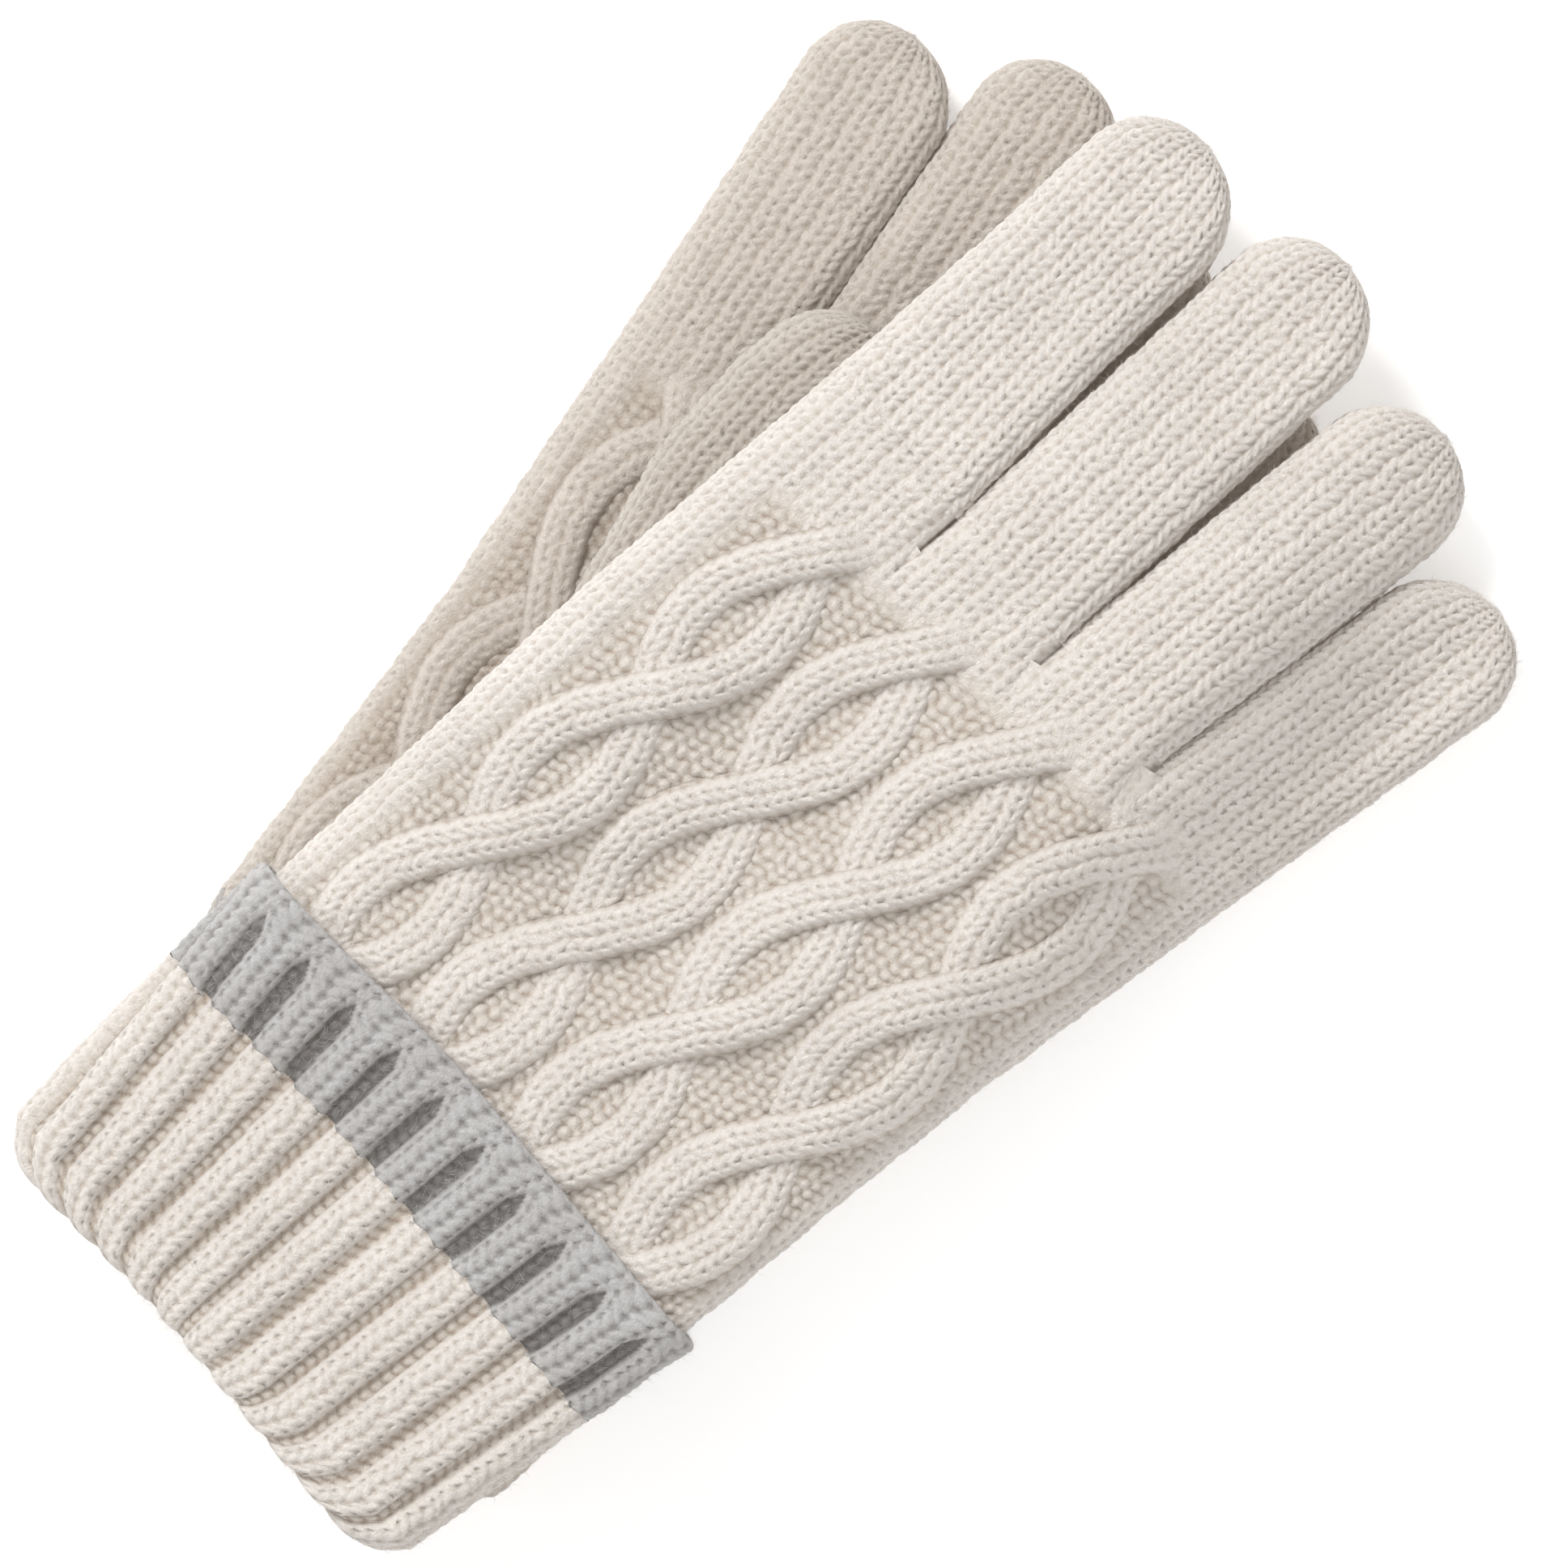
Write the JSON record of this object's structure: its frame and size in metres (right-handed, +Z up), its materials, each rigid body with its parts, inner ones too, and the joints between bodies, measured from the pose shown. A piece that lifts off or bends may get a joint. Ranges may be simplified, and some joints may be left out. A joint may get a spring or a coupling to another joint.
{
  "type": "pair of knitted gloves",
  "caption": "Pair of cable-knit gloves with full fingers and turned-up ribbed cuffs with a contrast band, laid flat with the right glove over the left.",
  "frame": {"origin": "middle of the pair's footprint on the surface that it lies on", "axes": "+Z up through the lying pair, +Y from the cuffs to the fingertips of the upper glove, +X across its hand towards the little finger"},
  "size_m": [0.1504, 0.2502, 0.0366],
  "materials": {
    "cream_knit": "soft brushed wool-blend yarn",
    "cream_rib": "soft brushed wool-blend yarn in rib",
    "grey_rib": "soft brushed grey marl yarn in rib"
  },
  "bodies": {
    "left_glove": {"left_hand": "cream_knit", "left_wrist_rib": "cream_rib", "left_turned_up_cuff": "cream_rib", "left_cuff_stripe": "grey_rib", "left_index_finger": "cream_knit", "left_middle_finger": "cream_knit", "left_thumb": "cream_knit"},
    "left_ring": {"left_ring_finger": "cream_knit"},
    "left_little": {"left_little_finger": "cream_knit"},
    "right_glove": {"right_hand": "cream_knit", "right_wrist_rib": "cream_rib", "right_turned_up_cuff": "cream_rib", "right_cuff_stripe": "grey_rib"},
    "right_index": {"right_index_finger": "cream_knit"},
    "right_middle": {"right_middle_finger": "cream_knit"},
    "right_ring": {"right_ring_finger": "cream_knit"},
    "right_little": {"right_little_finger": "cream_knit"},
    "right_thumb_body": {"right_thumb": "cream_knit"}
  },
  "joints": [
    {"name": "right_glove_lift", "type": "slide", "parent": "left_glove", "child": "right_glove", "axis": [0, 0, 1], "range_m": [0, 0.12]},
    {"name": "right_index_fold", "type": "hinge", "parent": "right_glove", "child": "right_index", "pos_m": [-0.0182, 0.0517, 0.0363], "axis": [1, 0, 0], "range_deg": [0, 60]},
    {"name": "right_middle_fold", "type": "hinge", "parent": "right_glove", "child": "right_middle", "pos_m": [0.0097, 0.0517, 0.0365], "axis": [1, 0, 0], "range_deg": [0, 60]},
    {"name": "right_ring_fold", "type": "hinge", "parent": "right_glove", "child": "right_ring", "pos_m": [0.0348, 0.0517, 0.036], "axis": [1, 0, 0], "range_deg": [0, 60]},
    {"name": "right_little_fold", "type": "hinge", "parent": "right_glove", "child": "right_little", "pos_m": [0.0596, 0.0517, 0.0303], "axis": [1, 0, 0], "range_deg": [0, 60]},
    {"name": "right_thumb_swing", "type": "hinge", "parent": "right_glove", "child": "right_thumb_body", "pos_m": [-0.0214, -0.004, 0.0176], "axis": [0, 0, 1], "range_deg": [0, 45]},
    {"name": "left_little_spread", "type": "hinge", "parent": "left_glove", "child": "left_little", "pos_m": [-0.0625, 0.0375, 0.006], "axis": [0, 0, 1], "range_deg": [0, 20]},
    {"name": "left_ring_spread", "type": "hinge", "parent": "left_glove", "child": "left_ring", "pos_m": [-0.0379, 0.0427, 0.006], "axis": [0, 0, 1], "range_deg": [0, 8]}
  ],
  "couplings": [
    {"joint": "left_ring_spread", "follows": "left_little_spread", "ratio": 0.4}
  ]
}
